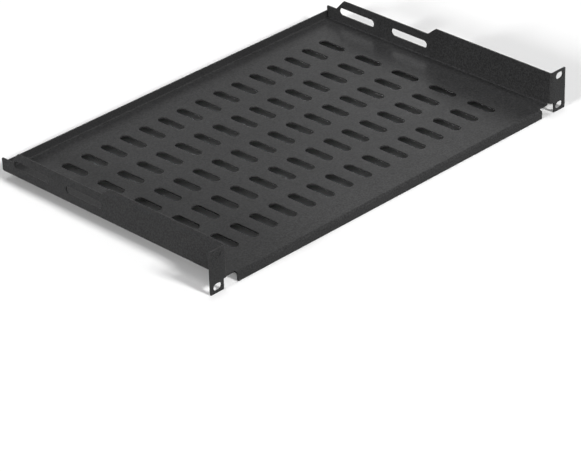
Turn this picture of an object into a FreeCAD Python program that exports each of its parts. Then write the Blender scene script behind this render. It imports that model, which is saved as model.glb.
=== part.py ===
import FreeCAD, Part
import math
import os

import Sketcher

# Vented 1U cantilever shelf for a 19 inch rack, folded from one sheet of steel.
#
# X runs across the rack, Y from the front to the back and Z up. The origin is on the rack rails:
# Y = 0 is the face of the ears that meets them, X = 0 is the middle of the rack and Z = 0 is half
# way up the 1U panel. Heights of walls and lips are outside heights, over the sheet's thickness.

SIZES = [
    ("body_width", 443.0, "tray between the rack rails, outside"),
    ("depth", 300.0, "front of the ears to the back of the rear lip"),
    ("sheet_thickness", 1.5, "steel sheet"),
    ("bend_radius", 1.5, "inside radius of every fold"),
    ("side_height", 36.0, "side walls at the front"),
    ("middle_height", 27.0, "side walls along the slotted stretch"),
    ("rear_height", 15.0, "side walls at the back end"),
    ("middle_length", 115.0, "slotted stretch of the side walls"),
    ("rear_length", 13.0, "low back end of the side walls"),
    ("step_run", 11.0, "length of each slanted step in the side walls"),
    ("rear_corner_cut", 5.0, "bevel under the back end of the side walls"),
    ("back_lip_height", 10.0, "rear lip, turned up"),
    ("back_lip_gap", 0.4, "end of the rear lip to the side wall"),
    ("front_lip_height", 9.15, "front lip, turned down"),
    ("ear_reach", 19.8, "side of the tray to the edge of the ear"),
    ("ear_slot_length", 10.0, "slots for the rack screws, across the rack"),
    ("ear_slot_height", 7.0, "slots for the rack screws, up the rack"),
    ("ear_slot_inset", 8.75, "edge of the ear to the middle of its slots"),
    ("ear_slot_margin", 5.95, "top or bottom of the ear to the middle of its slot"),
    ("relief_run", 14.0, "end of the front lip to the side of the tray"),
    ("relief_clearance", 1.75, "how far the corner notch runs past the folds it frees"),
    ("corner_radius", 1.0, "rounding of the sheet's outer corners"),
    ("vent_length", 33.0, "floor slots, front to back"),
    ("vent_width", 10.0, "floor slots, across"),
    ("vent_web", 15.0, "metal between floor slots in a row"),
    ("row_web", 17.0, "metal between rows of floor slots"),
    ("front_strip", 33.5, "front of the ears to the first row of floor slots"),
    ("rear_strip", 30.0, "least metal behind the last row of floor slots"),
    ("side_strip", 35.0, "least metal between the floor slots and the side folds"),
    ("side_slot_length", 48.0, "slots in the side walls, front to back"),
    ("side_slot_height", 8.0, "slots in the side walls, up"),
    ("side_slot_web", 24.0, "metal between the slots of one side wall"),
    ("side_slot_start", 1.0, "foot of the front step to the first side slot"),
    ("side_slot_end", 5.0, "least metal between the last side slot and the foot of the rear step"),
]

# Places and shared lengths, as expressions in the sheet's sizes.
PANEL = "(Sizes.side_height + Sizes.front_lip_height - Sizes.sheet_thickness)"
TOP = f"({PANEL} / 2)"
BOTTOM = f"(-{TOP})"
UNDERSIDE = f"({TOP} - Sizes.side_height)"
FLOOR = f"({UNDERSIDE} + Sizes.sheet_thickness)"
OUTER_BEND = "(Sizes.bend_radius + Sizes.sheet_thickness)"
BEND_TOP = f"({UNDERSIDE} + {OUTER_BEND})"
LIP_BEND = f"({FLOOR} - {OUTER_BEND})"
HALF_WIDTH = "(Sizes.body_width / 2)"
INSIDE = f"({HALF_WIDTH} - Sizes.sheet_thickness)"
SIDE_BEND = f"({HALF_WIDTH} - {OUTER_BEND})"
EAR_BEND = f"({INSIDE} + {OUTER_BEND})"
EAR_EDGE = f"({HALF_WIDTH} + Sizes.ear_reach)"
EAR_CUT = f"({EAR_BEND} + Sizes.relief_clearance)"
LIP_END = f"({HALF_WIDTH} - Sizes.relief_run)"
BACK_LIP_END = f"({INSIDE} - Sizes.back_lip_gap)"
FRONT = "(-Sizes.sheet_thickness)"
FRONT_BEND = f"({FRONT} + {OUTER_BEND})"
REAR = f"({FRONT} + Sizes.depth)"
REAR_BEND = f"({REAR} - {OUTER_BEND})"
REAR_FOOT = f"({REAR} - Sizes.rear_length)"
MIDDLE_REAR = f"({REAR_FOOT} - Sizes.step_run)"
MIDDLE_FRONT = f"({MIDDLE_REAR} - Sizes.middle_length)"
STEP_TOP = f"({MIDDLE_FRONT} - Sizes.step_run)"
MIDDLE_TOP = f"({UNDERSIDE} + Sizes.middle_height)"
REAR_TOP = f"({UNDERSIDE} + Sizes.rear_height)"
BACK_LIP_FACE = f"({REAR} - Sizes.sheet_thickness)"
BACK_LIP_TOP = f"({UNDERSIDE} + Sizes.back_lip_height)"

# Floor slots: as many columns and rows as the floor has room for. Each round end is drawn as a
# number of flats, within 0.05 mm of the true arc, so that the many slots stay light.
VENT_END_FLATS = 12
VENT_PITCH = "(Sizes.vent_width + Sizes.vent_web)"
ROW_PITCH = "(Sizes.vent_length + Sizes.row_web)"
VENT_COLUMNS = (f"floor((2 * {SIDE_BEND} - 2 * Sizes.side_strip + Sizes.vent_web)"
                f" / {VENT_PITCH})")
VENT_ROWS = (f"floor((Sizes.depth - Sizes.front_strip - Sizes.rear_strip + Sizes.row_web)"
             f" / {ROW_PITCH})")
SIDE_PITCH = "(Sizes.side_slot_length + Sizes.side_slot_web)"
SIDE_SLOTS = (f"floor(({REAR_FOOT} - {MIDDLE_FRONT} - Sizes.side_slot_start - Sizes.side_slot_end"
              f" + Sizes.side_slot_web) / {SIDE_PITCH})")

doc = FreeCAD.newDocument("rack_shelf")
sheet = doc.addObject("Spreadsheet::Sheet", "Sizes")
for line, (name, size, meaning) in enumerate(SIZES, start=1):
    sheet.set(f"A{line}", name)
    sheet.set(f"B{line}", str(size))
    sheet.set(f"C{line}", meaning)
    sheet.setAlias(f"B{line}", name)
doc.recompute()

shelf = doc.addObject("PartDesign::Body", "Shelf")
shelf.Label = "rack_shelf"


def value(expression):
    """The number that an expression in the sheet's sizes stands for."""
    return float(sheet.evalExpression(expression))


def plane(role):
    """The body's own origin plane of that role, such as XY_Plane."""
    return next(item for item in shelf.Origin.OriginFeatures if item.Role == role)


def sketch_on(role, name, offset="0"):
    """An empty sketch on an origin plane, moved along the plane's normal by an expression."""
    sketch = shelf.newObject("Sketcher::SketchObject", name)
    sketch.AttachmentSupport = [(plane(role), "")]
    sketch.MapMode = "FlatFace"
    sketch.AttachmentOffset = FreeCAD.Placement(FreeCAD.Vector(0, 0, value(offset)),
                                                FreeCAD.Rotation())
    if offset != "0":
        sketch.setExpression(".AttachmentOffset.Base.z", offset)
    return sketch


def fix_point(sketch, edge, end, across, up):
    """Tie one point of an edge to the sketch's origin by two distances."""
    for kind, distance in (("DistanceX", across), ("DistanceY", up)):
        index = sketch.addConstraint(Sketcher.Constraint(kind, -1, 1, edge, end, value(distance)))
        sketch.setExpression(f"Constraints[{index}]", distance)


def fix_radius(sketch, edge, radius):
    """Tie the radius of an arc to an expression."""
    index = sketch.addConstraint(Sketcher.Constraint("Radius", edge, value(radius)))
    sketch.setExpression(f"Constraints[{index}]", radius)


def arc_between(start, finish, radius, left):
    """The short arc between two points, turning left (counter-clockwise) or right."""
    chord = finish - start
    rise = math.sqrt(max(radius ** 2 - (chord.Length / 2) ** 2, 0))
    sideways = FreeCAD.Vector(-chord.y, chord.x, 0).normalize() * rise
    centre = (start + finish) * 0.5 + (sideways if left else sideways * -1)
    circle = Part.Circle(centre, FreeCAD.Vector(0, 0, 1), radius)
    first, last = (start, finish) if left else (finish, start)
    return Part.ArcOfCircle(circle, circle.parameter(first), circle.parameter(last))


def draw_outline(sketch, corners, folds=None):
    """Draw a closed outline.

    corners are (across, up) expressions in order round the outline. folds gives the edges that
    are arcs, by the number of the corner they leave: (radius expression, "left" or "right").
    """
    folds = folds or {}
    points = [FreeCAD.Vector(value(across), value(up), 0) for across, up in corners]
    ends = []
    for number, start in enumerate(points):
        finish = points[(number + 1) % len(points)]
        if number in folds:
            radius, turn = folds[number]
            left = turn == "left"
            edge = sketch.addGeometry(arc_between(start, finish, value(radius), left), False)
            ends.append((edge, 1, 2) if left else (edge, 2, 1))
            fix_radius(sketch, edge, radius)
        else:
            edge = sketch.addGeometry(Part.LineSegment(start, finish), False)
            ends.append((edge, 1, 2))
    for number, (edge, begin, _) in enumerate(ends):
        before, _, last = ends[number - 1]
        sketch.addConstraint(Sketcher.Constraint("Coincident", before, last, edge, begin))
        fix_point(sketch, edge, begin, *corners[number])


def draw_slot(sketch, centre, length, width):
    """Draw a round-ended slot about a centre, along the sketch's first axis."""
    half_run = f"(({length} - {width}) / 2)"
    radius = f"({width} / 2)"
    across, up = centre
    centres = [(f"({across} - {half_run})", up), (f"({across} + {half_run})", up)]
    arcs = []
    for (x_place, y_place), start in zip(centres, (math.pi / 2, 3 * math.pi / 2)):
        middle = FreeCAD.Vector(value(x_place), value(y_place), 0)
        circle = Part.Circle(middle, FreeCAD.Vector(0, 0, 1), value(radius))
        arcs.append(sketch.addGeometry(Part.ArcOfCircle(circle, start, start + math.pi), False))
    for first, second in (arcs, arcs[::-1]):
        start = sketch.getPoint(first, 2)
        finish = sketch.getPoint(second, 1)
        side = sketch.addGeometry(Part.LineSegment(start, finish), False)
        sketch.addConstraint(Sketcher.Constraint("Tangent", first, 2, side, 1))
        sketch.addConstraint(Sketcher.Constraint("Tangent", side, 2, second, 1))
    sketch.addConstraint(Sketcher.Constraint("Equal", *arcs))
    for arc, (x_place, y_place) in zip(arcs, centres):
        fix_point(sketch, arc, 3, x_place, y_place)
    fix_radius(sketch, arcs[0], radius)


def vent_corners(centre, length, width):
    """Corners of an upright slot whose two round ends are drawn as short flats."""
    across, up = centre
    radius = f"({width} / 2)"
    corners = []
    for end, start in (("+", 0), ("-", 180)):
        end_centre = f"{up} {end} ({length} - {width}) / 2"
        for number in range(VENT_END_FLATS + 1):
            angle = start + 180 * number / VENT_END_FLATS
            corners.append((f"({across} + {radius} * cos({angle:g}))",
                            f"({end_centre} + {radius} * sin({angle:g}))"))
    return corners


def feature(kind, name, sketch, length=None, side="One side", backwards=False):
    """A Pad or Pocket of a sketch, by a length or through everything."""
    made = shelf.newObject(f"PartDesign::{kind}", name)
    made.Profile = sketch
    made.SideType = side
    made.Reversed = backwards
    if length is None:
        made.Type = "ThroughAll"
    else:
        made.setExpression("Length", length)
    sketch.Visibility = False
    doc.recompute()
    return made


def fillet_edges(name, direction, spots):
    """Round the straight edges that run along a direction through any of the given spots."""
    along = FreeCAD.Vector(*direction)
    base = shelf.Tip
    names = []
    for number, edge in enumerate(base.Shape.Edges, start=1):
        if edge.Curve.TypeId != "Part::GeomLine":
            continue
        if edge.Curve.Direction.cross(along).Length > 1e-6:
            continue
        point = edge.CenterOfMass
        flat = point - along * point.dot(along)
        if any(flat.distanceToPoint(FreeCAD.Vector(*spot)) < 1e-4 for spot in spots):
            names.append(f"Edge{number}")
    rounding = shelf.newObject("PartDesign::Fillet", name)
    rounding.Base = (base, names)
    rounding.setExpression("Radius", "Sizes.corner_radius")
    doc.recompute()
    return rounding


# Floor and side folds: a shallow channel, as far as the tangents of the front and rear folds.
channel = sketch_on("XZ_Plane", "ChannelSection", f"-{FRONT_BEND}")
draw_outline(
    channel,
    [
        (f"(-{SIDE_BEND})", UNDERSIDE),
        (SIDE_BEND, UNDERSIDE),
        (HALF_WIDTH, BEND_TOP),
        (INSIDE, BEND_TOP),
        (SIDE_BEND, FLOOR),
        (f"(-{SIDE_BEND})", FLOOR),
        (f"(-{INSIDE})", BEND_TOP),
        (f"(-{HALF_WIDTH})", BEND_TOP),
    ],
    {
        1: (OUTER_BEND, "left"),
        3: ("Sizes.bend_radius", "right"),
        5: ("Sizes.bend_radius", "right"),
        7: (OUTER_BEND, "left"),
    },
)
feature("Pad", "Channel", channel, f"{REAR_BEND} - {FRONT_BEND}", backwards=True)

# Right side wall: three heights, joined by slanted steps.
wall = sketch_on("YZ_Plane", "WallOutline", INSIDE)
draw_outline(
    wall,
    [
        (FRONT_BEND, BEND_TOP),
        (REAR, BEND_TOP),
        (REAR, REAR_TOP),
        (REAR_FOOT, REAR_TOP),
        (MIDDLE_REAR, MIDDLE_TOP),
        (MIDDLE_FRONT, MIDDLE_TOP),
        (STEP_TOP, TOP),
        (FRONT_BEND, TOP),
    ],
)
side_wall = feature("Pad", "SideWall", wall, "Sizes.sheet_thickness")

# Right ear: the wall's front end folds outward into the plane of the rack rails.
ear_plan = sketch_on("XY_Plane", "EarPlan")
draw_outline(
    ear_plan,
    [
        (INSIDE, FRONT_BEND),
        (EAR_BEND, FRONT),
        (EAR_EDGE, FRONT),
        (EAR_EDGE, "0"),
        (EAR_BEND, "0"),
        (HALF_WIDTH, FRONT_BEND),
    ],
    {0: (OUTER_BEND, "left"), 4: ("Sizes.bend_radius", "right")},
)
ear = feature("Pad", "Ear", ear_plan, PANEL, side="Symmetric")

# Bevel under the wall's back end, where the side fold stops.
bevel_outline = sketch_on("YZ_Plane", "RearBevelOutline", HALF_WIDTH)
draw_outline(
    bevel_outline,
    [
        (f"({REAR} - Sizes.rear_corner_cut)", UNDERSIDE),
        (REAR, UNDERSIDE),
        (REAR, f"({UNDERSIDE} + Sizes.rear_corner_cut)"),
    ],
)
bevel = feature("Pocket", "RearBevel", bevel_outline, OUTER_BEND)

# The left wall and ear mirror the right ones.
left_side = shelf.newObject("PartDesign::Mirrored", "LeftSide")
left_side.Originals = [side_wall, ear, bevel]
left_side.MirrorPlane = (plane("YZ_Plane"), [""])
shelf.Tip = left_side
doc.recompute()

# Front lip: the floor's front edge turns down, flush with the face of the ears.
front_profile = sketch_on("YZ_Plane", "FrontLipProfile")
draw_outline(
    front_profile,
    [
        (FRONT_BEND, FLOOR),
        (FRONT, LIP_BEND),
        (FRONT, BOTTOM),
        ("0", BOTTOM),
        ("0", LIP_BEND),
        (FRONT_BEND, UNDERSIDE),
    ],
    {0: (OUTER_BEND, "left"), 4: ("Sizes.bend_radius", "right")},
)
feature("Pad", "FrontLip", front_profile, f"2 * {SIDE_BEND}", side="Symmetric")

# Rear lip: the floor's back edge turns up between the side walls. Its fold stops where the side
# folds begin, and the flat above it reaches on to the walls.
rear_fold = sketch_on("YZ_Plane", "RearFoldProfile")
draw_outline(
    rear_fold,
    [
        (REAR_BEND, UNDERSIDE),
        (REAR, BEND_TOP),
        (BACK_LIP_FACE, BEND_TOP),
        (REAR_BEND, FLOOR),
    ],
    {0: (OUTER_BEND, "left"), 2: ("Sizes.bend_radius", "right")},
)
feature("Pad", "RearFold", rear_fold, f"2 * {SIDE_BEND}", side="Symmetric")

rear_flat = sketch_on("YZ_Plane", "RearLipProfile")
draw_outline(
    rear_flat,
    [
        (BACK_LIP_FACE, BEND_TOP),
        (REAR, BEND_TOP),
        (REAR, BACK_LIP_TOP),
        (BACK_LIP_FACE, BACK_LIP_TOP),
    ],
)
feature("Pad", "RearLip", rear_flat, f"2 * {BACK_LIP_END}", side="Symmetric")

# Corner notches: they part the floor fold, the side fold and the ear fold at each front corner,
# and set the ends of the lip and the lower edges of the ears.
notches = sketch_on("XZ_Plane", "CornerNotches", f"-{FRONT}")
for side in ("", "-"):
    draw_outline(
        notches,
        [
            (f"({side}{LIP_END})", BOTTOM),
            (f"({side}{EAR_CUT})", BOTTOM),
            (f"({side}{EAR_CUT})", BEND_TOP),
            (f"({side}{LIP_END})", BEND_TOP),
        ],
    )
feature("Pocket", "CornerNotch", notches, f"{OUTER_BEND} + Sizes.relief_clearance")

# Rounded corners of the ears and the lip, seen from the front, and of the walls, from the side.
front_spots = []
for side in (-1, 1):
    front_spots.append((side * value(EAR_EDGE), 0, value(TOP)))
    front_spots.append((side * value(EAR_EDGE), 0, value(BOTTOM)))
    front_spots.append((side * value(EAR_CUT), 0, value(BOTTOM)))
    front_spots.append((side * value(LIP_END), 0, value(BOTTOM)))
fillet_edges("FrontCorners", (0, 1, 0), front_spots)
wall_spots = [
    (0, value(REAR), value(REAR_TOP)),
    (0, value(REAR_FOOT), value(REAR_TOP)),
    (0, value(MIDDLE_REAR), value(MIDDLE_TOP)),
    (0, value(MIDDLE_FRONT), value(MIDDLE_TOP)),
    (0, value(STEP_TOP), value(TOP)),
]
fillet_edges("WallCorners", (1, 0, 0), wall_spots)

# Side slots: half way up the inside of the slotted stretch, through both walls at once.
side_sketch = sketch_on("YZ_Plane", "SideSlotOutline")
slot_place = f"({MIDDLE_FRONT} + Sizes.side_slot_start + Sizes.side_slot_length / 2)"
draw_slot(side_sketch, (slot_place, f"(({FLOOR} + {MIDDLE_TOP}) / 2)"),
          "Sizes.side_slot_length", "Sizes.side_slot_height")
side_slot = feature("Pocket", "SideSlot", side_sketch, side="Symmetric")

side_slots = shelf.newObject("PartDesign::LinearPattern", "SideSlots")
side_slots.Originals = [side_slot]
side_slots.Direction = (side_sketch, ["H_Axis"])
side_slots.Mode = "Spacing"
side_slots.setExpression("Offset", SIDE_PITCH)
side_slots.setExpression("Occurrences", SIDE_SLOTS)
shelf.Tip = side_slots
doc.recompute()

# Slots for the rack screws, two in each ear.
ear_sketch = sketch_on("XZ_Plane", "EarSlotOutlines")
for side in ("", "-"):
    for level in ("", "-"):
        draw_slot(ear_sketch,
                  (f"({side}({EAR_EDGE} - Sizes.ear_slot_inset))",
                   f"({level}({TOP} - Sizes.ear_slot_margin))"),
                  "Sizes.ear_slot_length", "Sizes.ear_slot_height")
feature("Pocket", "EarSlots", ear_sketch, side="Symmetric")

# Floor slots: the left slot of the front row, repeated across and back.
vent_sketch = sketch_on("XY_Plane", "VentOutline", FLOOR)
first_column = f"(({VENT_COLUMNS} - 1) * {VENT_PITCH} / -2)"
first_row = f"({FRONT} + Sizes.front_strip + Sizes.vent_length / 2)"
draw_outline(vent_sketch, vent_corners((first_column, first_row), "Sizes.vent_length",
                                       "Sizes.vent_width"))
vent = feature("Pocket", "Vent", vent_sketch)

vents = shelf.newObject("PartDesign::LinearPattern", "Vents")
vents.Originals = [vent]
vents.Direction = (vent_sketch, ["H_Axis"])
vents.Mode = "Spacing"
vents.setExpression("Offset", VENT_PITCH)
vents.setExpression("Occurrences", VENT_COLUMNS)
vents.Direction2 = (vent_sketch, ["V_Axis"])
vents.Mode2 = "Extent"
vents.setExpression("Length2", f"({VENT_ROWS} - 1) * {ROW_PITCH}")
vents.setExpression("Occurrences2", VENT_ROWS)
shelf.Tip = vents

doc.recompute()
for item in doc.Objects:
    if "Invalid" in item.State or "Error" in item.State:
        raise RuntimeError(f"{item.Name} failed: {item.State}")

volume = 0.0
for step in shelf.Group:
    if not step.isDerivedFrom("PartDesign::Feature"):
        continue
    step_volume = step.Shape.Volume
    change = step_volume - volume
    if step.TypeId == "PartDesign::Pad" and change <= 0:
        raise RuntimeError(f"{step.Name} adds nothing")
    if step.TypeId == "PartDesign::Pocket" and change >= 0:
        raise RuntimeError(f"{step.Name} cuts nothing")
    volume = step_volume
    print(f"{step.Name}: {change:+.1f} mm3, {len(step.Shape.Solids)} solid")

body_shape = shelf.Shape
if body_shape.isNull() or not body_shape.isValid() or len(body_shape.Solids) != 1:
    raise RuntimeError("the shelf is not one valid solid")
box = body_shape.BoundBox
print(f"{shelf.Label}: {box.XLength:.2f} x {box.YLength:.2f} x {box.ZLength:.2f} mm,"
      f" {volume / 1000:.1f} cm3")

os.makedirs("parts", exist_ok=True)
body_shape.exportStep(f"parts/{shelf.Label}.step")
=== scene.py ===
"""Render scene of a vented 1U cantilever rack shelf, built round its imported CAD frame.

The shelf is one folded sheet of steel. Its middle surface is laid out in patches, each a grid
worked out from a formula, and is given its thickness, its softened edges and its powder coat here.
All lengths are in metres, in the frame of the CAD part.
"""

import logging
import math
from dataclasses import dataclass
from enum import Enum

import bpy
import numpy as np
from mathutils import Matrix, Vector

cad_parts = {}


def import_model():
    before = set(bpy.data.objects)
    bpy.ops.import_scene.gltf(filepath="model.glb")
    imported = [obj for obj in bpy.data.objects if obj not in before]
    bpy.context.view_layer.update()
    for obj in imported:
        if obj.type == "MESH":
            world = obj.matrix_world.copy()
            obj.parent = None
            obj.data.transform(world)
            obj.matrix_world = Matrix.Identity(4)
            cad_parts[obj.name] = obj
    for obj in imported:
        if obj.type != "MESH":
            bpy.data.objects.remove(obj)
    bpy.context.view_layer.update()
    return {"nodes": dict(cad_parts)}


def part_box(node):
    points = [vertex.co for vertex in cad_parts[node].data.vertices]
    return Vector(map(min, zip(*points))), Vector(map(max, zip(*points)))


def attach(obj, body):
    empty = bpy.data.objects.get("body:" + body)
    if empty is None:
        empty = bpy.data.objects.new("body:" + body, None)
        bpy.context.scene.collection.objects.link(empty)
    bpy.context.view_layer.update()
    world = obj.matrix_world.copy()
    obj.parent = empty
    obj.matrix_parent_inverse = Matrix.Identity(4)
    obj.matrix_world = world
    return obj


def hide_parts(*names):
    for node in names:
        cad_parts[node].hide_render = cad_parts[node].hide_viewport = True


LOG = logging.getLogger("rack_shelf")
MM = 0.001
NODE = "rack_shelf"
BODY = "root"

# Patches are welded where their points agree to within WELD, and places nearer to each other
# than TOUCH count as one.
WELD = 0.001 * MM
TOUCH = 0.01 * MM

UP = np.array([0.0, 0.0, 1.0])
FORWARD = np.array([0.0, -1.0, 0.0])

Numbers = float | np.ndarray
Place = tuple[float, float, float]


class Side(Enum):
    """The two sides of the shelf, as the sign of X."""

    LEFT = -1
    RIGHT = 1


class Run(Enum):
    """The direction that a slot runs in, on the patch that it is cut from."""

    ACROSS = 0
    UPRIGHT = 1


@dataclass(frozen=True)
class SlotCut:
    """A round-ended slot.

    Args:
        length: Size over the round ends.
        width: Size between the straight sides.
        run: Direction of the slot's long side.
        arc_steps: Number of steps round each end.
        side_steps: Number of steps along each straight side.
    """

    length: float
    width: float
    run: Run
    arc_steps: int
    side_steps: int

    def path(self, centre: tuple[float, float], end_steps: int) -> np.ndarray:
        """Points round the slot, counter-clockwise from the corner at its lower left.

        The straight side is a line at minus the radius, the end is the radius times the cosine
        and sine of an angle from -90 to 90 degrees about the end's centre, and the other half
        is the same turned half a turn. A slot that stands upright is turned a quarter turn.

        Args:
            centre: Middle of the slot on its patch.
            end_steps: Number of steps of the surrounding outline that face each round end.

        Returns:
            An array of points, two numbers each.
        """
        radius = self.width / 2
        half = self.length / 2 - radius
        side = np.linspace(-half, half, self.side_steps, endpoint=False) - 1j * radius
        angle = np.linspace(-math.pi / 2, math.pi / 2, self.arc_steps, endpoint=False)
        end = half + radius * np.exp(1j * angle)
        outline = np.concatenate([side, end, -side, -end])
        # Of an end's steps, the middle ones face the outline's short side, and the others, half
        # of them at either end of the arc, its long sides. The path starts where they part.
        skip = (self.arc_steps - end_steps) // 2
        if self.run is Run.UPRIGHT:
            outline = np.roll(outline * 1j, self.arc_steps - skip)
        else:
            outline = np.roll(outline, skip)
        return np.column_stack([outline.real + centre[0], outline.imag + centre[1]])

    def long_steps(self, end_steps: int) -> int:
        """Number of steps of the surrounding outline that face each long side."""
        return self.side_steps + self.arc_steps - end_steps


def places(x: Numbers, y: Numbers, z: Numbers) -> np.ndarray:
    """Places or vectors with the given X, Y and Z, each spread over the others' grid."""
    return np.stack(np.broadcast_arrays(x, y, z), -1)


def rectangle(x: np.ndarray, y: np.ndarray) -> tuple[np.ndarray, ...]:
    """Sides of a rectangle: points where the grid lines meet its first or last line.

    Args:
        x: Its grid lines from left to right.
        y: Its grid lines from bottom to top.

    Returns:
        The lower, right, upper and left sides.
    """
    return (np.column_stack([x, np.full_like(x, y[0])]),
            np.column_stack([np.full_like(y, x[-1]), y]),
            np.column_stack([x, np.full_like(x, y[-1])]),
            np.column_stack([np.full_like(y, x[0]), y]))


def outline_round(bottom: np.ndarray, right: np.ndarray, top: np.ndarray,
                  left: np.ndarray) -> np.ndarray:
    """Closed outline of a four-sided patch, counter-clockwise from its lower left corner.

    Args:
        bottom: Points of the lower side, from left to right.
        right: Points of the right side, from bottom to top.
        top: Points of the upper side, from left to right.
        left: Points of the left side, from bottom to top.

    Returns:
        The points in order, with each corner given once.
    """
    return np.concatenate([bottom[:-1], right[:-1], top[:0:-1], left[:0:-1]])


def ring(inner: np.ndarray, outer: np.ndarray) -> tuple[np.ndarray, np.ndarray]:
    """Grid of a closed band between two outlines with as many points each.

    Args:
        inner: Points of the inner outline.
        outer: Points of the outer outline.

    Returns:
        The two coordinates of the grid's points, each as two rows that end where they start.
    """
    band = np.stack([inner, outer])
    band = np.concatenate([band, band[:, :1]], axis=1)
    return band[..., 0], band[..., 1]


def lines(*stops: tuple[float, int]) -> np.ndarray:
    """Grid lines through the given stops.

    Args:
        stops: Each a place and the number of equal steps that lead up to it. The first one's
            number isn't used.

    Returns:
        The places of all lines, in order.
    """
    marks = [np.array([stops[0][0]])]
    for (start, _), (finish, steps) in zip(stops, stops[1:]):
        marks.append(np.linspace(start, finish, steps + 1)[1:])
    return np.concatenate(marks)


def outward(azimuth: float, elevation: float) -> Vector:
    """Unit vector that points away from the shelf at the given angles.

    X is the sine and Y minus the cosine of the azimuth, both times the cosine of the elevation,
    and Z is the sine of the elevation.

    Args:
        azimuth: Angle round Z, in degrees, with 0 in front of the shelf.
        elevation: Angle above the floor, in degrees.

    Returns:
        The vector.
    """
    around, above = math.radians(azimuth), math.radians(elevation)
    return Vector((math.sin(around) * math.cos(above), -math.cos(around) * math.cos(above),
                   math.sin(above)))


class MiddleSurface:
    """The middle surface of a sheet, gathered patch by patch, and thickened at the end."""

    def __init__(self) -> None:
        """Start with no patches."""
        self.points: list[np.ndarray] = []
        self.normals: list[np.ndarray] = []
        self.quads: list[np.ndarray] = []
        self.count = 0

    def add(self, points: np.ndarray, normals: np.ndarray) -> None:
        """Add a patch that is a grid of points.

        Args:
            points: Places, as rows by columns by three.
            normals: Vectors towards the upper face, for each point, each row or all at once.
                Their length is one, but along a mitre it is more, so that the sheet keeps its
                thickness on both sides.
        """
        rows, columns = points.shape[:2]
        number = np.arange(rows * columns).reshape(rows, columns) + self.count
        quads = np.stack([number[:-1, :-1], number[:-1, 1:], number[1:, 1:], number[1:, :-1]], -1)
        self.points.append(points.reshape(-1, 3))
        self.normals.append(np.broadcast_to(normals, points.shape).reshape(-1, 3))
        self.quads.append(quads.reshape(-1, 4))
        self.count += rows * columns

    def weld(self) -> tuple[np.ndarray, np.ndarray, np.ndarray]:
        """Join the patches where their points meet.

        Returns:
            The points, their normals, and the quads with every one facing its normals.
        """
        points = np.concatenate(self.points)
        normals = np.concatenate(self.normals)
        quads = np.concatenate(self.quads)
        _, first, merged = np.unique(np.round(points / WELD), axis=0, return_index=True,
                                     return_inverse=True)
        points, normals, quads = points[first], normals[first], merged.reshape(-1)[quads]
        across = points[quads[:, 2]] - points[quads[:, 0]]
        other = points[quads[:, 3]] - points[quads[:, 1]]
        facing = np.einsum("ij,ij->i", np.cross(across, other), normals[quads].sum(1))
        quads = np.where(facing[:, None] < 0, quads[:, ::-1], quads)
        return points, normals, quads

    def thicken(self, thickness: float) -> tuple[np.ndarray, np.ndarray, int]:
        """Turn the middle surface into a closed sheet.

        Each face is the middle surface moved half the thickness along its normal, and a strip of
        quads joins the two along every free edge.

        Args:
            thickness: The sheet's thickness.

        Returns:
            The points, the quads, and how many of the points are on the upper face.
        """
        points, normals, quads = self.weld()
        count = len(points)
        edges = np.concatenate([quads[:, [step, (step + 1) % 4]] for step in range(4)])
        _, place, uses = np.unique(np.sort(edges, axis=1), axis=0, return_index=True,
                                   return_counts=True)
        free = edges[place[uses == 1]]
        rim = np.column_stack([free[:, 1], free[:, 0], free[:, 0] + count, free[:, 1] + count])
        half = normals * (thickness / 2)
        solid = np.concatenate([points + half, points - half])
        return solid, np.concatenate([quads, quads[:, ::-1] + count, rim]), count


@dataclass(frozen=True)
class Grain:
    """A noise that varies something over the coat.

    Args:
        size: Size of its grains.
        detail: Number of finer layers in it.
        share: How far up and down it takes what it varies, as a share of that.
    """

    size: float
    detail: float
    share: float = 0.0


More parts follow.
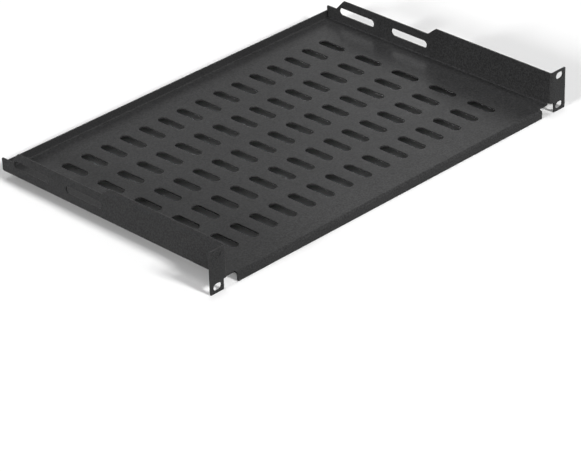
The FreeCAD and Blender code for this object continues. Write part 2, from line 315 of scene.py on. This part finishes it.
@dataclass(frozen=True)
class PowderCoat:
    """Satin black powder coat with a fine orange-peel texture.

    Args:
        colour: Colour of the coat, linear.
        roughness: Mean roughness of its surface.
        index: Refractive index, which sets the strength of its sheen.
        peel: Ripples of the texture.
        peel_height: Height of those ripples.
        speckle: Small grains that vary its tone.
        cloud: Wide patches that vary its tone.
        gloss: Patches that vary its roughness.
        noise_low: Value that nearly all of a noise stays above.
        noise_high: Value that nearly all of a noise stays below.
    """

    colour: tuple[float, float, float] = (0.03, 0.03, 0.0305)
    roughness: float = 0.32
    index: float = 1.16
    peel: Grain = Grain(size=1.6 * MM, detail=2)
    peel_height: float = 0.06 * MM
    speckle: Grain = Grain(size=1.5 * MM, detail=3, share=0.4)
    cloud: Grain = Grain(size=60 * MM, detail=2, share=0.07)
    gloss: Grain = Grain(size=9 * MM, detail=2, share=0.08)
    noise_low: float = 0.3
    noise_high: float = 0.7

    def material(self) -> bpy.types.Material:
        """Build the material.

        Returns:
            A material whose tone, roughness and bump follow Object coordinates.
        """
        material = bpy.data.materials.new("powder_coat")
        material.use_nodes = True
        nodes = material.node_tree.nodes
        link = material.node_tree.links.new
        shader = nodes["Principled BSDF"]
        shader.inputs["IOR"].default_value = self.index
        place = nodes.new("ShaderNodeTexCoord")

        def noise(grain: Grain) -> bpy.types.NodeSocket:
            """Add a noise texture.

            Args:
                grain: Its size and detail.

            Returns:
                The socket that gives its value.
            """
            texture = nodes.new("ShaderNodeTexNoise")
            texture.inputs["Scale"].default_value = 1 / grain.size
            texture.inputs["Detail"].default_value = grain.detail
            link(place.outputs["Object"], texture.inputs["Vector"])
            return texture.outputs["Fac"]

        def vary(mean: float, grain: Grain) -> bpy.types.NodeSocket:
            """Add a value that goes up and down with a noise.

            Args:
                mean: The middle of its range.
                grain: The noise, with the share of the mean that it goes up and down.

            Returns:
                The socket that gives the value.
            """
            ramp = nodes.new("ShaderNodeMapRange")
            ramp.inputs["From Min"].default_value = self.noise_low
            ramp.inputs["From Max"].default_value = self.noise_high
            ramp.inputs["To Min"].default_value = mean * (1 - grain.share)
            ramp.inputs["To Max"].default_value = mean * (1 + grain.share)
            link(noise(grain), ramp.inputs["Value"])
            return ramp.outputs["Result"]

        tone = nodes.new("ShaderNodeMath")
        tone.operation = "MULTIPLY"
        link(vary(1.0, self.speckle), tone.inputs[0])
        link(vary(1.0, self.cloud), tone.inputs[1])
        tint = nodes.new("ShaderNodeVectorMath")
        tint.operation = "SCALE"
        tint.inputs[0].default_value = self.colour
        link(tone.outputs["Value"], tint.inputs["Scale"])
        link(tint.outputs["Vector"], shader.inputs["Base Color"])
        link(vary(self.roughness, self.gloss), shader.inputs["Roughness"])

        bump = nodes.new("ShaderNodeBump")
        bump.inputs["Strength"].default_value = 1.0
        bump.inputs["Distance"].default_value = self.peel_height
        link(noise(self.peel), bump.inputs["Height"])
        link(bump.outputs["Normal"], shader.inputs["Normal"])
        return material


@dataclass
class FoldedShelf:
    """The shelf: one sheet with its floor, side walls, ears and lips.

    Args:
        low: Lowest corner of the CAD part.
        high: Highest corner of the CAD part.
        finish: The coat on the sheet.
        thickness: Thickness of the sheet.
        inner_bend: Inside radius of every fold.
        half_width: Half the width over the side walls.
        side_height: Height of the walls in front, from the underside.
        middle_height: Height of the walls along their slots.
        rear_height: Height of the walls at their back end.
        middle_length: Length of the walls' edge along their slots.
        rear_length: Length of the walls' edge at their back end.
        step_run: Length of each slope of the walls' edge.
        back_lip_height: Height of the rear lip, from the underside.
        back_lip_gap: Gap between the rear lip and each wall.
        relief_run: Distance from the outside of a wall to the end of the front lip.
        relief_clearance: How far the front notches reach past the ends of the folds.
        corner_radius: Radius of the rounded corners of the sheet's outline.
        corner_segments: Number of flats round each of those corners.
        edge_radius: Radius that softens every sharp edge.
        edge_segments: Number of flats across each softened edge.
        sharp_angle: Smallest turn of the surface that counts as an edge, in degrees.
        vent_columns: Number of floor slots side by side.
        vent_rows: Number of rows of floor slots.
        vent_pitch: Distance between floor slots side by side.
        row_pitch: Distance between their rows.
        first_vent: Distance from the front to the middle of the first row.
        first_side_slot: Distance from the end of the walls' first slope to the middle of their
            first slot.
        side_slot_pitch: Distance between the two slots of a wall.
        ear_slot_inset: Distance from an ear's outer edge to the middle of its slots.
        ear_slot_margin: Distance from an ear's upper or lower edge to the middle of its slot.
        bend_steps: Number of steps round each fold.
        wall_steps: Number of steps up each wall.
        slope_steps: Number of steps along each slope of the walls' edge.
        lip_steps: Number of steps up the flat of each lip.
        margin_steps: Number of steps from the floor cells to the front notches, and out to the
            ends of the front lip.
        rim_steps: Number of steps over each of the floor's outer strips, at the sides and rear.
        vent_end_steps: Number of steps across each floor cell.
        ear_end_steps: Number of steps up each ear cell.
        vent: A floor slot.
        side_slots: The two slots of a side wall, the front one first.
        ear_slot: A screw slot of an ear.
    """

    low: Vector
    high: Vector
    finish: PowderCoat = PowderCoat()
    thickness: float = 1.5 * MM
    inner_bend: float = 1.5 * MM
    half_width: float = 221.5 * MM
    side_height: float = 36.0 * MM
    middle_height: float = 27.0 * MM
    rear_height: float = 15.0 * MM
    middle_length: float = 115.0 * MM
    rear_length: float = 13.0 * MM
    step_run: float = 11.0 * MM
    back_lip_height: float = 10.0 * MM
    back_lip_gap: float = 0.4 * MM
    relief_run: float = 14.0 * MM
    relief_clearance: float = 1.75 * MM
    corner_radius: float = 1.0 * MM
    corner_segments: int = 4
    edge_radius: float = 0.25 * MM
    edge_segments: int = 2
    sharp_angle: float = 50.0
    vent_columns: int = 15
    vent_rows: int = 5
    vent_pitch: float = 25.0 * MM
    row_pitch: float = 50.0 * MM
    first_vent: float = 50.0 * MM
    first_side_slot: float = 25.0 * MM
    side_slot_pitch: float = 72.0 * MM
    ear_slot_inset: float = 8.75 * MM
    ear_slot_margin: float = 5.95 * MM
    bend_steps: int = 8
    wall_steps: int = 12
    slope_steps: int = 2
    lip_steps: int = 3
    margin_steps: int = 3
    rim_steps: int = 2
    vent_end_steps: int = 12
    ear_end_steps: int = 4
    vent: SlotCut = SlotCut(length=33.0 * MM, width=10.0 * MM, run=Run.UPRIGHT, arc_steps=16,
                            side_steps=4)
    side_slots: tuple[SlotCut, SlotCut] = (
        SlotCut(length=48.0 * MM, width=8.0 * MM, run=Run.ACROSS, arc_steps=18, side_steps=6),
        SlotCut(length=48.0 * MM, width=8.0 * MM, run=Run.ACROSS, arc_steps=18, side_steps=4))
    ear_slot: SlotCut = SlotCut(length=10.0 * MM, width=7.0 * MM, run=Run.ACROSS, arc_steps=12,
                                side_steps=2)

    def __post_init__(self) -> None:
        """Work out the places that several patches share."""
        self.outer_bend = self.inner_bend + self.thickness
        self.middle_bend = self.inner_bend + self.thickness / 2
        self.front, self.rear = self.low.y, self.high.y
        self.top, self.bottom = self.high.z, self.low.z
        self.ear_edge = self.high.x
        self.front_face = self.front + self.thickness / 2
        self.rear_face = self.rear - self.thickness / 2
        self.wall_face = self.half_width - self.thickness / 2
        self.underside = self.top - self.side_height
        self.floor = self.underside + self.thickness / 2
        self.bend_top = self.underside + self.outer_bend
        self.lip_top = self.underside + self.thickness - self.outer_bend
        self.side_bend = self.half_width - self.outer_bend
        self.front_bend = self.front + self.outer_bend
        self.rear_bend = self.rear - self.outer_bend
        self.ear_bend = self.half_width - self.thickness + self.outer_bend
        self.ear_cut = self.ear_bend + self.relief_clearance
        self.notch_end = self.front_bend + self.relief_clearance
        self.lip_end = self.half_width - self.relief_run
        self.back_lip_end = self.half_width - self.thickness - self.back_lip_gap
        self.rear_foot = self.rear - self.rear_length
        self.middle_rear = self.rear_foot - self.step_run
        self.middle_front = self.middle_rear - self.middle_length
        self.step_top = self.middle_front - self.step_run
        self.middle_top = self.underside + self.middle_height
        self.rear_top = self.underside + self.rear_height
        self.vents_wide = self.vent_columns * self.vent_pitch / 2
        self.vents_front = self.front + self.first_vent - self.row_pitch / 2
        self.vents_back = self.vents_front + self.vent_rows * self.row_pitch
        self.vent_long_steps = self.vent.long_steps(self.vent_end_steps)
        self.x_lines = lines(
            (-self.side_bend, 0), (-self.lip_end, self.rim_steps),
            (-self.vents_wide, self.margin_steps),
            (self.vents_wide, self.vent_columns * self.vent_end_steps),
            (self.lip_end, self.margin_steps), (self.side_bend, self.rim_steps))
        self.y_lines = lines(
            (self.front_bend, 0), (self.notch_end, 1), (self.vents_front, self.margin_steps),
            (self.vents_back, self.vent_rows * self.vent_long_steps),
            (self.rear_foot, self.rim_steps), (self.rear_bend, self.rim_steps))

    def wall_top(self, y: np.ndarray) -> np.ndarray:
        """Height of the side walls' upper edge: straight lines between its corners."""
        return np.interp(y, [self.step_top, self.middle_front, self.middle_rear, self.rear_foot],
                         [self.top, self.middle_top, self.middle_top, self.rear_top])

    def wall_heights(self, y: np.ndarray) -> np.ndarray:
        """Heights of a wall's grid at each Y: equal shares from its foot to its top."""
        share = np.linspace(0, 1, self.wall_steps + 1)[:, None]
        return self.bend_top + share * (self.wall_top(y) - self.bend_top)

    def fold_angles(self) -> np.ndarray:
        """The angles of a fold's lines, from flat to a quarter turn, as a column."""
        return np.linspace(0, math.pi / 2, self.bend_steps + 1)[:, None]

    def on_floor(self, x: np.ndarray, y: np.ndarray) -> np.ndarray:
        """Places on the floor: X and Y as given, Z at the middle of the sheet."""
        return places(x, y, self.floor)

    def on_wall(self, side: Side, y: np.ndarray, z: np.ndarray) -> np.ndarray:
        """Places on a side wall: Y and Z as given, X at the middle of the sheet."""
        return places(side.value * self.wall_face, y, z)

    def on_ear(self, side: Side, across: np.ndarray, z: np.ndarray) -> np.ndarray:
        """Places on an ear: distance from the middle and Z as given, Y in the sheet's middle."""
        return places(side.value * across, self.front_face, z)

    def floor_patches(self, sheet: MiddleSurface) -> None:
        """Flat floor: a margin of plain grid round the cells, each with its slot.

        Args:
            sheet: The surface that the patches join.
        """
        x, y = self.x_lines, self.y_lines
        cells_x = x[np.abs(x) < self.vents_wide + TOUCH]
        cells_y = y[(y > self.vents_front - TOUCH) & (y < self.vents_back + TOUCH)]
        margins = []
        for side in Side:
            across = side.value * x
            beside = (across > self.vents_wide - TOUCH) & (across < self.lip_end + TOUCH)
            margins.append((x[across > self.lip_end - TOUCH], y[y > self.notch_end - TOUCH]))
            margins.append((x[beside], y))
        margins.append((cells_x, y[y < self.vents_front + TOUCH]))
        margins.append((cells_x, y[y > self.vents_back - TOUCH]))
        for margin_x, margin_y in margins:
            sheet.add(self.on_floor(margin_x, margin_y[:, None]), UP)

        for column in range(self.vent_columns):
            for row in range(self.vent_rows):
                cell_x = cells_x[column * self.vent_end_steps:][:self.vent_end_steps + 1]
                cell_y = cells_y[row * self.vent_long_steps:][:self.vent_long_steps + 1]
                centre = ((cell_x[0] + cell_x[-1]) / 2, (cell_y[0] + cell_y[-1]) / 2)
                slot = self.vent.path(centre, self.vent_end_steps)
                cell = outline_round(*rectangle(cell_x, cell_y))
                sheet.add(self.on_floor(*ring(slot, cell)), UP)

    def front_lip(self, sheet: MiddleSurface) -> None:
        """Front lip, folded down.

        In its fold, Y and Z go round a quarter circle of the middle radius and X runs along it,
        and the flat of the lip carries on from there.

        Args:
            sheet: The surface that the patches join.
        """
        angle = self.fold_angles()
        x = self.x_lines[np.abs(self.x_lines) < self.lip_end + TOUCH]
        y = self.front_bend - self.middle_bend * np.sin(angle)
        z = self.lip_top + self.middle_bend * np.cos(angle)
        sheet.add(places(x, y, z), places(0, -np.sin(angle), np.cos(angle)))
        z = lines((self.lip_top, 0), (self.bottom, self.lip_steps))[:, None]
        sheet.add(places(x, self.front_face, z), FORWARD)

    def rear_lip(self, sheet: MiddleSurface) -> None:
        """Rear lip, folded up.

        In its fold, Y and Z go round a quarter circle of the middle radius and X runs along it.
        The ends of the fold are mitred to meet the side folds, and the flat of the lip stops just
        short of the walls.

        Args:
            sheet: The surface that the patches join.
        """
        angle = self.fold_angles()
        turn = self.middle_bend * np.sin(angle)
        z = self.bend_top - self.middle_bend * np.cos(angle)
        x = np.tile(self.x_lines, (len(angle), 1))
        x[:, :1], x[:, -1:] = -self.side_bend - turn, self.side_bend + turn
        normals = places(0 * x, -np.sin(angle), np.cos(angle))
        normals[:, :1, 0], normals[:, -1:, 0] = np.sin(angle), -np.sin(angle)
        sheet.add(places(x, self.rear_bend + turn, z), normals)

        tip = self.underside + self.back_lip_height
        z = lines((self.bend_top, 0), (tip, self.lip_steps))[:, None]
        x = np.tile(x[-1], (len(z), 1))
        x[1:, 0], x[1:, -1] = -self.back_lip_end, self.back_lip_end
        normals = np.tile(FORWARD, (*x.shape, 1))
        normals[0, 0, 0], normals[0, -1, 0] = 1, -1
        sheet.add(places(x, self.rear_face, z), normals)

    def side_fold(self, sheet: MiddleSurface, side: Side) -> None:
        """Fold between the floor and a side wall.

        X and Z go round a quarter circle of the middle radius, from straight down to sideways,
        and Y runs along it. Its back end is mitred to meet the rear fold, which closes the
        corner: there Y goes round the same quarter circle as X.

        Args:
            sheet: The surface that the patch joins.
            side: Which side of the shelf.
        """
        angle = self.fold_angles()
        turn = self.middle_bend * np.sin(angle)
        z = self.bend_top - self.middle_bend * np.cos(angle)
        y = np.tile(self.y_lines[1:], (len(angle), 1))
        y[:, -1:] = self.rear_bend + turn
        normals = places(-side.value * np.sin(angle), 0 * y, np.cos(angle))
        normals[:, -1:, 1] = -np.sin(angle)
        sheet.add(places(side.value * (self.side_bend + turn), y, z), normals)

    def wall_ends(self, sheet: MiddleSurface, side: Side) -> None:
        """The plain parts of a side wall: its high front stretch and its low back end.

        The lowest point of the back end lies on the mitre of the rear corner.

        Args:
            sheet: The surface that the patches join.
            side: Which side of the shelf.
        """
        inward = np.array([-side.value, 0.0, 0.0])
        front = self.y_lines[self.y_lines < self.step_top + TOUCH]
        sheet.add(self.on_wall(side, front, self.wall_heights(front)), inward)
        back = self.y_lines[self.y_lines > self.rear_foot - TOUCH]
        back[-1] = self.rear
        heights = self.wall_heights(back)
        back = np.tile(back, (len(heights), 1))
        back[0, -1] = self.rear_face
        normals = np.tile(inward, (*back.shape, 1))
        normals[0, -1, 1] = -1
        sheet.add(self.on_wall(side, back, heights), normals)

    def wall_cells(self, sheet: MiddleSurface, side: Side) -> None:
        """The stepped stretch of a side wall: two cells with a long slot each.

        Each cell stands on grid lines of the floor, and its upper side follows the wall's edge
        along one slope and a part of the level stretch.

        Args:
            sheet: The surface that the patches join.
            side: Which side of the shelf.
        """
        inward = np.array([-side.value, 0.0, 0.0])
        split = self.vents_back - self.row_pitch
        level = (self.underside + self.thickness + self.middle_top) / 2
        front_steps, back_steps = (cut.long_steps(self.wall_steps) - self.slope_steps
                                   for cut in self.side_slots)
        edges = (
            lines((self.step_top, 0), (self.middle_front, self.slope_steps), (split, front_steps)),
            lines((split, 0), (self.middle_rear, back_steps), (self.rear_foot, self.slope_steps)))
        for number, (edge, cut) in enumerate(zip(edges, self.side_slots)):
            within = (self.y_lines > edge[0] - TOUCH) & (self.y_lines < edge[-1] + TOUCH)
            foot = self.y_lines[within]
            start, finish = (np.column_stack([np.full(self.wall_steps + 1, end),
                                              self.wall_heights(np.array([end]))])
                             for end in (edge[0], edge[-1]))
            cell = outline_round(np.column_stack([foot, np.full_like(foot, self.bend_top)]), finish,
                                 np.column_stack([edge, self.wall_top(edge)]), start)
            middle = self.middle_front + self.first_side_slot + number * self.side_slot_pitch
            slot = cut.path((middle, level), self.wall_steps)
            sheet.add(self.on_wall(side, *ring(slot, cell)), inward)

    def ear(self, sheet: MiddleSurface, side: Side) -> None:
        """Ear and its fold: the wall's front end turns outward into the plane of the rails.

        In the fold, X and Y go round a quarter circle of the middle radius and Z runs along it.
        The ear is flat, with a cell round each of its two slots.

        Args:
            sheet: The surface that the patches join.
            side: Which side of the shelf.
        """
        angle = self.fold_angles()
        x = side.value * (self.ear_bend - self.middle_bend * np.cos(angle))
        y = self.front_bend - self.middle_bend * np.sin(angle)
        z = lines((self.bend_top, 0), (self.top, self.wall_steps))
        sheet.add(places(x, y, z), places(-side.value * np.cos(angle), -np.sin(angle), 0))

        across = lines((self.ear_cut, 0),
                       (self.ear_edge, self.ear_slot.long_steps(self.ear_end_steps)))
        lower = lines((self.bottom, 0), (self.bend_top, self.ear_end_steps - 1), (z[1], 1))
        upper = z[-self.ear_end_steps - 1:]
        between = z[1:-self.ear_end_steps]
        strip = np.array([self.ear_bend, self.ear_cut])
        sheet.add(self.on_ear(side, strip, z[:, None]), FORWARD)
        sheet.add(self.on_ear(side, across, between[:, None]), FORWARD)
        level = self.top - self.ear_slot_margin
        for cell_z, height in ((lower, -level), (upper, level)):
            middle = (self.ear_edge - self.ear_slot_inset, height)
            slot = self.ear_slot.path(middle, self.ear_end_steps)
            cell = outline_round(*rectangle(across, cell_z))
            sheet.add(self.on_ear(side, *ring(slot, cell)), FORWARD)

    def round_corners(self) -> np.ndarray:
        """Corners of the sheet's outline that are rounded, on its middle surface.

        Returns:
            One point for each corner of the ears, the front lip and the side walls.
        """
        right = np.array([
            (self.ear_edge, self.front_face, self.top),
            (self.ear_edge, self.front_face, self.bottom),
            (self.ear_cut, self.front_face, self.bottom),
            (self.lip_end, self.front_face, self.bottom),
            (self.wall_face, self.rear, self.rear_top),
            (self.wall_face, self.rear_foot, self.rear_top),
            (self.wall_face, self.middle_rear, self.middle_top),
            (self.wall_face, self.middle_front, self.middle_top),
            (self.wall_face, self.step_top, self.top)])
        return np.concatenate([right, right * [-1, 1, 1]])

    def mark_corners(self, mesh: bpy.types.Mesh, points: np.ndarray, upper: int) -> int:
        """Mark the edges that run through the sheet's thickness at its rounded corners.

        Args:
            mesh: The sheet's mesh.
            points: Its points, those of the upper face first.
            upper: How many of them are on the upper face.

        Returns:
            The number of corners found.
        """
        middle = (points[:upper] + points[upper:]) / 2
        away = np.linalg.norm(middle[:, None] - self.round_corners()[None], axis=2)
        corner = np.flatnonzero(away.min(axis=1) < TOUCH)
        ends = np.zeros(len(mesh.edges) * 2, dtype=np.int32)
        mesh.edges.foreach_get("vertices", ends)
        ends = np.sort(ends.reshape(-1, 2), axis=1)
        through = np.isin(ends[:, 0], corner) & (ends[:, 1] == ends[:, 0] + upper)
        mark = mesh.attributes.new("bevel_weight_edge", "FLOAT", "EDGE")
        mark.data.foreach_set("value", through.astype(np.float32))
        return len(corner)

    def soften(self, shelf: bpy.types.Object) -> None:
        """Round the marked corners, soften the sharp edges and even out the shading.

        Args:
            shelf: The sheet's object.
        """
        corners = shelf.modifiers.new("corners", "BEVEL")
        corners.limit_method = "WEIGHT"
        corners.width = self.corner_radius
        corners.segments = self.corner_segments
        edges = shelf.modifiers.new("edges", "BEVEL")
        edges.limit_method = "ANGLE"
        edges.angle_limit = math.radians(self.sharp_angle)
        edges.width = self.edge_radius
        edges.segments = self.edge_segments
        edges.use_clamp_overlap = False
        shelf.modifiers.new("shading", "WEIGHTED_NORMAL")

    def build(self) -> bpy.types.Object:
        """Build the shelf, with softened edges and its coat.

        Returns:
            The finished object, riding on the part's body.
        """
        surface = MiddleSurface()
        self.floor_patches(surface)
        self.front_lip(surface)
        self.rear_lip(surface)
        for side in Side:
            self.side_fold(surface, side)
            self.wall_ends(surface, side)
            self.wall_cells(surface, side)
            self.ear(surface, side)
        points, quads, upper = surface.thicken(self.thickness)
        mesh = bpy.data.meshes.new("folded_sheet")
        mesh.from_pydata(points, [], quads)
        mesh.shade_smooth()
        corners = self.mark_corners(mesh, points, upper)

        shelf = bpy.data.objects.new("folded_sheet", mesh)
        bpy.context.scene.collection.objects.link(shelf)
        self.soften(shelf)
        mesh.materials.append(self.finish.material())
        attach(shelf, BODY)
        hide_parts(NODE)
        LOG.info("folded_sheet: %d points, %d faces, %d rounded corners", len(points), len(quads),
                 corners)
        return shelf


def hang(lamp: bpy.types.Light, place: Place | Vector, target: Place | Vector) -> bpy.types.Object:
    """Put a lamp at a place, turned to a target.

    Args:
        lamp: The lamp's data.
        place: Where it stands.
        target: What it points at.

    Returns:
        The lamp's object.
    """
    lamp_object = bpy.data.objects.new(lamp.name, lamp)
    lamp_object.location = place
    aim = Vector(target) - Vector(place)
    lamp_object.rotation_euler = aim.to_track_quat("-Z", "Y").to_euler()
    bpy.context.scene.collection.objects.link(lamp_object)
    return lamp_object


@dataclass(frozen=True)
class FarLight:
    """A distant light that falls evenly over the shelf and leaves no glare of its own.

    Args:
        name: The lamp's name.
        azimuth: Angle round Z that it comes from, in degrees, with 0 in front of the shelf.
        elevation: Angle above the floor that it comes from, in degrees.
        level: Brightness that it gives to a white surface that faces it.
        softness: Angle that it spans, in degrees.
    """

    name: str
    azimuth: float
    elevation: float
    level: float
    softness: float

    def build(self) -> bpy.types.Object:
        """Create the light.

        Returns:
            The lamp's object.
        """
        lamp = bpy.data.lights.new(self.name, "SUN")
        lamp.energy = self.level * math.pi
        lamp.angle = math.radians(self.softness)
        light = hang(lamp, outward(self.azimuth, self.elevation), Vector())
        light.visible_glossy = False
        return light


@dataclass(frozen=True)
class SheenBox:
    """A rectangular soft box that the shelf mirrors as a sheen, and that lights nothing.

    Args:
        name: The lamp's name.
        place: Where it stands.
        target: What it faces.
        width: Its size sideways.
        height: Its size up.
        power: Its power in watts.
    """

    name: str
    place: Place
    target: Place
    width: float
    height: float
    power: float

    def build(self) -> bpy.types.Object:
        """Create the soft box.

        Returns:
            The lamp's object.
        """
        lamp = bpy.data.lights.new(self.name, "AREA")
        lamp.shape = "RECTANGLE"
        lamp.size, lamp.size_y = self.width, self.height
        lamp.energy = self.power
        box = hang(lamp, self.place, self.target)
        box.visible_diffuse = False
        return box


@dataclass(frozen=True)
class Studio:
    """White floor and sky, and soft light.

    Args:
        ground: Height of the floor.
        floor_size: Length of the floor's sides.
        floor_tone: Tone of the floor where it is seen or mirrored.
        bounce_tone: Tone of the floor for the light that it throws back up.
        sky_white: Strength of the sky where it is seen or mirrored.
        sky_tone: Strength of the sky for the light that it gives.
        lamps: The lamps: even light from overhead, the left and the front, and a sheen from
            behind.
    """

    ground: float
    floor_size: float = 40.0
    floor_tone: float = 0.9
    bounce_tone: float = 0.1
    sky_white: float = 1.0
    sky_tone: float = 0.18
    lamps: tuple[FarLight | SheenBox, ...] = (
        FarLight("overhead", azimuth=130, elevation=77, level=0.15, softness=14),
        FarLight("left_light", azimuth=-90, elevation=19.4, level=0.84, softness=11),
        FarLight("front_light", azimuth=3, elevation=33, level=1.0, softness=11),
        SheenBox("sheen_box", place=(1.02, 0.77, 0.65), target=(0.0, 0.15, 0.0), width=0.5,
                 height=0.5, power=0.84))

    @staticmethod
    def shown(tree: bpy.types.NodeTree, lighting: float, seen: float) -> bpy.types.NodeSocket:
        """A value that differs between what is seen or mirrored and what only lights.

        Args:
            tree: The material or world that the value is for.
            lighting: The value where a surface only throws light on others.
            seen: The value where it is seen, directly, mirrored or through glass.

        Returns:
            The socket that gives the value.
        """
        path = tree.nodes.new("ShaderNodeLightPath")
        kind = path.outputs["Is Camera Ray"]
        for name in ("Is Glossy Ray", "Is Transmission Ray"):
            either = tree.nodes.new("ShaderNodeMath")
            either.operation = "MAXIMUM"
            tree.links.new(kind, either.inputs[0])
            tree.links.new(path.outputs[name], either.inputs[1])
            kind = either.outputs["Value"]
        choice = tree.nodes.new("ShaderNodeMapRange")
        choice.inputs["To Min"].default_value = lighting
        choice.inputs["To Max"].default_value = seen
        tree.links.new(kind, choice.inputs["Value"])
        return choice.outputs["Result"]

    def floor(self) -> None:
        """A wide flat floor that takes the shelf's shadow and throws little light back up."""
        half = self.floor_size / 2
        corners = [(-half, -half), (half, -half), (half, half), (-half, half)]
        mesh = bpy.data.meshes.new("studio_floor")
        mesh.from_pydata([(x, y, self.ground) for x, y in corners], [], [(0, 1, 2, 3)])
        material = bpy.data.materials.new("studio_floor")
        material.use_nodes = True
        tree = material.node_tree
        shader = tree.nodes["Principled BSDF"]
        tree.links.new(self.shown(tree, self.bounce_tone, self.floor_tone),
                       shader.inputs["Base Color"])
        shader.inputs["Roughness"].default_value = 1.0
        shader.inputs["Specular IOR Level"].default_value = 0.0
        mesh.materials.append(material)
        floor = bpy.data.objects.new("studio_floor", mesh)
        bpy.context.scene.collection.objects.link(floor)

    def sky(self) -> None:
        """White where it is seen or mirrored, and a dimmer fill where it only lights."""
        world = bpy.data.worlds.new("studio_sky")
        world.use_nodes = True
        tree = world.node_tree
        background = tree.nodes["Background"]
        background.inputs["Color"].default_value = (1, 1, 1, 1)
        tree.links.new(self.shown(tree, self.sky_tone, self.sky_white),
                       background.inputs["Strength"])
        bpy.context.scene.world = world

    def build(self) -> None:
        """Set up floor, sky and lamps."""
        self.floor()
        self.sky()
        for lamp in self.lamps:
            lamp.build()


@dataclass(frozen=True)
class Viewpoint:
    """The camera, by the direction that it looks from.

    Args:
        target: The point at the middle of the picture.
        azimuth: Angle round Z, in degrees, with 0 in front of the shelf.
        elevation: Angle above the floor, in degrees.
        roll: Turn of the camera about its own axis, in degrees.
        distance: Distance from the target.
        lens: Focal length, in millimetres, on a sensor 36 mm wide.
        reach: Distance past which nothing is drawn.
    """

    target: Place
    azimuth: float
    elevation: float
    roll: float
    distance: float
    lens: float
    reach: float = 100.0

    def build(self) -> bpy.types.Object:
        """Create the camera and make it the scene's.

        Returns:
            The camera's object.
        """
        around, turn = math.radians(self.azimuth), math.radians(self.roll)
        back = outward(self.azimuth, self.elevation)
        level = Vector((math.cos(around), math.sin(around), 0))
        over = back.cross(level)
        right = math.cos(turn) * level + math.sin(turn) * over
        up = -math.sin(turn) * level + math.cos(turn) * over
        data = bpy.data.cameras.new("camera")
        data.lens = self.lens
        data.clip_end = self.reach
        camera = bpy.data.objects.new("camera", data)
        camera.matrix_world = (Matrix.Translation(Vector(self.target) + back * self.distance)
                               @ Matrix((right, up, back)).transposed().to_4x4())
        bpy.context.scene.collection.objects.link(camera)
        bpy.context.scene.camera = camera
        return camera


def main() -> None:
    """Build the shelf round its frame, then the studio and the camera."""
    logging.basicConfig(level=logging.INFO, format="%(name)s: %(message)s")
    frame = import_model()
    low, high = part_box(NODE)
    LOG.info("frame of %d nodes", len(frame["nodes"]))
    bpy.context.scene.view_settings.view_transform = "Standard"
    FoldedShelf(low, high).build()
    Studio(ground=low.z).build()
    Viewpoint(target=(-0.12992, 0.00938, -0.012675), azimuth=-44.86, elevation=29.78, roll=-1.64,
              distance=2.708, lens=186.4).build()


if __name__ == "__main__":
    main()
